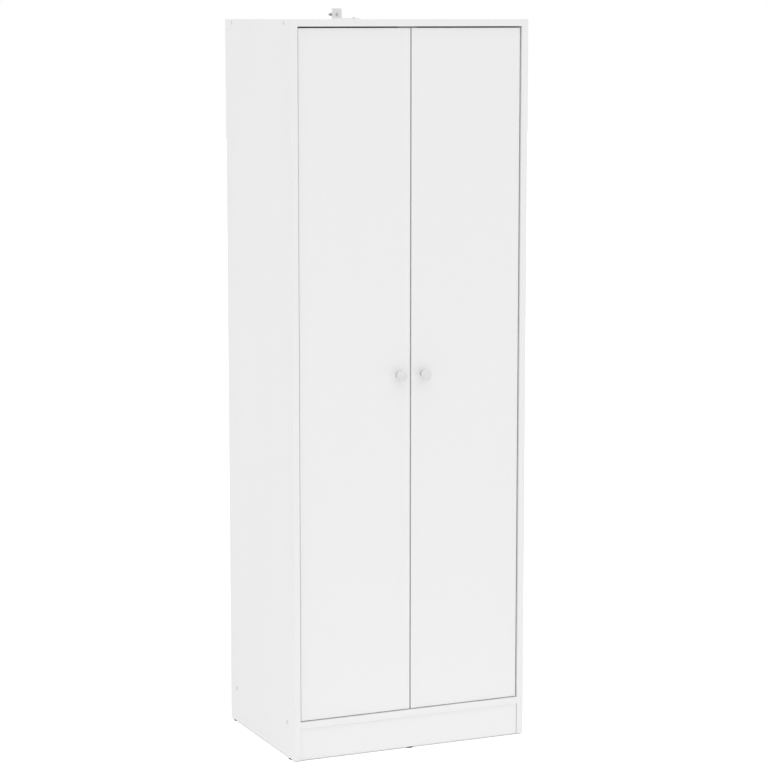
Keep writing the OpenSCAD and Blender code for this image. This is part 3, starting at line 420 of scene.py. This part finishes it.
def plated(name, colour, dark, rough, brush=(1.0, 1.0, 1.0), streak=700.0, metal=1.0):
    """Plated or cast metal: drawn streaks from the die, cloudy plating and small dull spots."""
    f = Finish(name)
    drawn = f.noise(f.scaled(*brush), streak, 3.0, 0.6)
    cloud = f.noise(f.place, 130.0, 3.0)
    spots = f.between(f.noise(f.place, 800.0, 2.0), 0.62, 0.74)
    tint = f.blend(f.between(cloud, 0.3, 0.7), colour, dark)
    tint = f.blend(f.calc("MULTIPLY", spots, 0.5), tint, dark)
    gloss = f.between(drawn, 0.3, 0.7, rough - 0.06, rough + 0.08)
    gloss = f.calc("ADD", gloss, f.calc("MULTIPLY", spots, 0.14))
    relief = f.bump(drawn, 0.02 * MM, 0.5, f.bump(cloud, 0.08 * MM, 0.15))
    return f.done(tint, gloss, relief, metal=metal)


def beech(name):
    """Rolled beech dowel: straight grain along X, dark ray flecks and pressed flutes."""
    f = Finish(name)
    grain = f.noise(f.scaled(0.12, 1.0, 1.0), 900.0, 4.0, 0.6)
    wood = f.blend(f.between(grain, 0.3, 0.7), (0.66, 0.47, 0.29, 1), (0.50, 0.33, 0.19, 1))
    flecks = f.between(f.noise(f.scaled(0.4, 1.0, 1.0), 1600.0, 1.0), 0.64, 0.72)
    wood = f.blend(f.calc("MULTIPLY", flecks, 0.6), wood, (0.30, 0.17, 0.09, 1))
    return f.done(wood, f.between(grain, 0.3, 0.7, 0.5, 0.68), f.bump(grain, 0.08 * MM, 0.6))


# How far out from the door and how strongly the painted neck shade reaches
NECK_L = 17 * MM
NECK_SHADE_SHARE = 0.35


def shared_finishes():
    """The finishes that don't depend on one board's size, by the record's slot. A knob's neck is
    the NECK_L of it next to the door."""
    door_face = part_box("left_door_panel")[0][1]
    return {
        "white_plastic": moulded("white_plastic", grey(0.835, 0.004), grey(0.80, 0.006), 0.40),
        "cap_plastic": moulded("cap_plastic", grey(0.69, 0.002), grey(0.66, 0.002), 0.42),
        "grey_plastic": moulded("grey_plastic", grey(0.03), grey(0.024), 0.55, 800.0, 0.06 * MM),
        "plug_plastic": moulded("plug_plastic", grey(0.31), grey(0.26), 0.48, 900.0, 0.05 * MM),
        # The knob's neck carries painted shade
        "knob_lacquer": lacquered("knob_lacquer", grey(0.765, 0.004), grey(0.735, 0.006), 0.36,
                                  neck=(door_face, door_face - NECK_L, NECK_SHADE_SHARE)),
        "bracket_paint": lacquered("bracket_paint", grey(0.83, 0.002), grey(0.80, 0.002), 0.42,
                                   700.0),
        "nickel_plate": plated("nickel_plate", (0.64, 0.625, 0.60, 1), (0.50, 0.485, 0.46, 1), 0.24,
                               (1.0, 0.12, 1.0)),
        "zinc_steel": plated("zinc_steel", (0.60, 0.61, 0.63, 1), (0.44, 0.45, 0.47, 1), 0.30),
        "cast_zinc": plated("cast_zinc", (0.52, 0.52, 0.52, 1), (0.38, 0.38, 0.385, 1), 0.44,
                            streak=1200.0),
        "magnet": plated("magnet", (0.10, 0.10, 0.105, 1), (0.06, 0.06, 0.062, 1), 0.42, metal=0.4),
        "beech": beech("beech"),
    }


# ---- New pieces ----

def piece(name, mesh, node, material):
    """Puts a mesh in the scene in place of a CAD node, on that node's body."""
    obj = bpy.data.objects.new(name, mesh)
    scene.collection.objects.link(obj)
    mesh.materials.clear()
    mesh.materials.append(material)
    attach(obj, body_of_node[node])
    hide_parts(node)
    return obj


def revolve(profile, centre, along, sectors):
    """Points of a turned shape: ring k at height h_k and radius r_k holds, for each angle a, the
    centre plus h_k times the axis plus r_k times (cos a, sin a) in the plane across it. A ring of
    radius 0 at either end closes the shape as a pole. Gives the points and the faces."""
    profile = np.asarray(profile, float)
    along = np.asarray(along, float)
    side = np.cross(along, (0.0, 0.0, 1.0)) if abs(along[2]) < 0.9 else np.array((1.0, 0.0, 0.0))
    side /= np.linalg.norm(side)
    other = np.cross(along, side)
    r, h = profile[1:-1, 0], profile[1:-1, 1]
    angle = np.linspace(0, 2 * math.pi, sectors, endpoint=False)
    ring = np.cos(angle)[:, None] * side + np.sin(angle)[:, None] * other
    grid = np.asarray(centre) + h[:, None, None] * along + r[:, None, None] * ring[None]
    poles = np.asarray(centre) + profile[[0, -1], 1][:, None] * along
    points = np.vstack([grid.reshape(-1, 3), poles])
    n, m = len(r), sectors
    k, j = np.meshgrid(np.arange(n - 1), np.arange(m), indexing="ij")
    a, b = k * m + j, k * m + (j + 1) % m
    faces = np.stack([a, b, b + m, a + m], -1).reshape(-1, 4).tolist()
    j = np.arange(m)
    first, last = n * m, n * m + 1
    faces += np.stack([np.full(m, first), (j + 1) % m, j], -1).tolist()
    top = (n - 1) * m
    faces += np.stack([np.full(m, last), top + j, top + (j + 1) % m], -1).tolist()
    return points, faces


TURNED_CORNER = 38
BOARD_CORNER = 32


def mesh_of(name, parts):
    """One mesh from several (points, faces), smooth but for its corners."""
    points, faces, n = [], [], 0
    for p, f in parts:
        points.append(p)
        faces += [[i + n for i in face] for face in f]
        n += len(p)
    mesh = bpy.data.meshes.new(name)
    mesh.from_pydata(np.vstack(points).tolist(), [], faces)
    mesh.validate()
    mesh.shade_smooth()
    mesh.set_sharp_from_angle(angle=math.radians(TURNED_CORNER))
    return mesh


# A knob's shape: the neck's width against the cap's, and heights against the whole length
NECK_TO_CAP = 16 / 26.5
FOOT_T, WAIST_AT, RIM_AT, RIM_T = 0.06, 0.3, 0.8, 0.06
KNOB_STEPS = 40


def knob_profile(low, high):
    """Radius against height of a knob: a flat foot with a rolled edge, a straight neck that
    swells on half a cosine wave into the cap's rim, and a domed cap on a quarter ellipse."""
    length = high[1] - low[1]
    cap = (high[0] - low[0]) / 2
    neck = cap * NECK_TO_CAP
    foot_t, waist_at, rim_at, rim_t = (length * k for k in (FOOT_T, WAIST_AT, RIM_AT, RIM_T))
    s = np.linspace(0, 1, KNOB_STEPS)
    wave = (1 - np.cos(np.pi * s)) / 2
    lower = np.stack([np.full(KNOB_STEPS, neck), foot_t + (waist_at - foot_t) * s], -1)
    upper = np.stack([neck + (cap - neck) * wave, waist_at + (rim_at - waist_at) * s], -1)[1:]
    q = s * np.pi / 2
    dome_from = rim_at + rim_t
    dome = np.stack([cap * np.cos(q), dome_from + (length - dome_from) * np.sin(q)], -1)
    roll = 0.4 * MM
    start = [[0, 0], [neck - roll, 0], [neck - 0.3 * roll, 0.3 * roll], [neck, roll]]
    return np.vstack([start, lower, upper, dome[:-1], [[0, length]]])


def new_knobs(finishes):
    for side in ("left", "right"):
        node = side + "_door_knob"
        low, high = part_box(node)
        profile = knob_profile(low, high)
        centre = ((low[0] + high[0]) / 2, high[1], (low[2] + high[2]) / 2)
        mesh = mesh_of(side + "_knob", [revolve(profile, centre, (0, -1, 0), 96)])
        piece(side + "_knob", mesh, node, finishes["knob_lacquer"])


def islands(obj):
    """The separate solids of a mesh, as (lowest corner, highest corner) pairs."""
    bm = bmesh.new()
    bm.from_mesh(obj.data)
    bmesh.ops.remove_doubles(bm, verts=bm.verts, dist=1e-6)
    left, found = set(bm.verts), []
    while left:
        todo, group = [left.pop()], []
        while todo:
            v = todo.pop()
            group.append(tuple(v.co))
            for e in v.link_edges:
                w = e.other_vert(v)
                if w in left:
                    left.remove(w)
                    todo.append(w)
        g = np.array(group)
        found.append((g.min(0), g.max(0)))
    bm.free()
    return sorted(found, key=lambda box: tuple(np.round(box[0], 5)))


DOME_H = 0.16 * MM


def new_screw_caps(finishes):
    """Press-in caps over the housing screws: a short plug with a rolled rim and a low dome,
    which rises DOME_H on a quarter ellipse."""
    parts = []
    for low, high in islands(nodes["screw_caps"]):
        out = 1.0 if low[0] > 0 else -1.0
        outer, inner = (high[0], low[0]) if out > 0 else (low[0], high[0])
        t = abs(outer - inner)
        r = (high[1] - low[1]) / 2
        s = np.linspace(0, 1, 14)
        dome = np.stack([(r - 0.25 * MM) * np.cos(s * np.pi / 2),
                         t - DOME_H + DOME_H * np.sin(s * np.pi / 2)], -1)
        rim = [[0, 0], [r * 0.92, 0], [r, 0.2 * MM], [r, t - 0.30 * MM],
               [r - 0.08 * MM, t - 0.2 * MM]]
        profile = np.vstack([rim, dome[:-1], [[0, t]]])
        centre = (inner, (low[1] + high[1]) / 2, (low[2] + high[2]) / 2)
        parts.append(revolve(profile, centre, (out, 0, 0), 48))
    piece("screw_cap_set", mesh_of("screw_cap_set", parts), "screw_caps", finishes["cap_plastic"])


EASE = 0.4 * MM


def eased_board(node, material):
    """A board's own solid with the corners of its banded edges eased: each corner line is cut
    back and rounded over in three steps, and bores and bare edges stay as they are."""
    bm = bmesh.new()
    bm.from_mesh(nodes[node].data)
    bmesh.ops.remove_doubles(bm, verts=bm.verts, dist=1e-6)
    bmesh.ops.dissolve_limit(bm, angle_limit=math.radians(0.5), verts=bm.verts, edges=bm.edges)
    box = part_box(node)
    thick, bands = BANDED[node]
    edges = []
    for e in bm.edges:
        planes = [(axis, end) for i, axis in enumerate("xyz") for end in (0, 1)
                  if all(abs(v.co[i] - box[end][i]) < 1e-6 for v in e.verts)]
        cut = [p for p in planes if p[0] != thick]
        if len(planes) == 2 and cut and all(p in bands for p in cut):
            edges.append(e)
    bmesh.ops.bevel(bm, geom=edges, offset=EASE, offset_type="OFFSET", segments=3, profile=0.5,
                    affect="EDGES", clamp_overlap=False)
    bmesh.ops.triangulate(bm, faces=[f for f in bm.faces if len(f.verts) > 4])
    mesh = bpy.data.meshes.new(node + "_eased")
    bm.to_mesh(mesh)
    bm.free()
    mesh.shade_smooth()
    mesh.set_sharp_from_angle(angle=math.radians(BOARD_CORNER))
    board = piece(node + "_eased", mesh, node, material)
    even = board.modifiers.new("flat_faces", "WEIGHTED_NORMAL")
    even.keep_sharp, even.weight = True, 100
    return board


def dress():
    """Gives every node its finish, and puts the redrawn pieces in."""
    finishes = shared_finishes()
    new_knobs(finishes)
    new_screw_caps(finishes)
    for node, obj in nodes.items():
        slot = slot_of_node[node]
        if slot == "white_melamine":
            eased_board(node, white_melamine(node))
            continue
        material = white_hardboard(node) if slot == "white_hardboard" else finishes[slot]
        obj.data.materials.clear()
        obj.data.materials.append(material)


photographer()
studio_light()
pale_floor()
dress()

scene.view_settings.view_transform = "Standard"
bpy.context.view_layer.update()
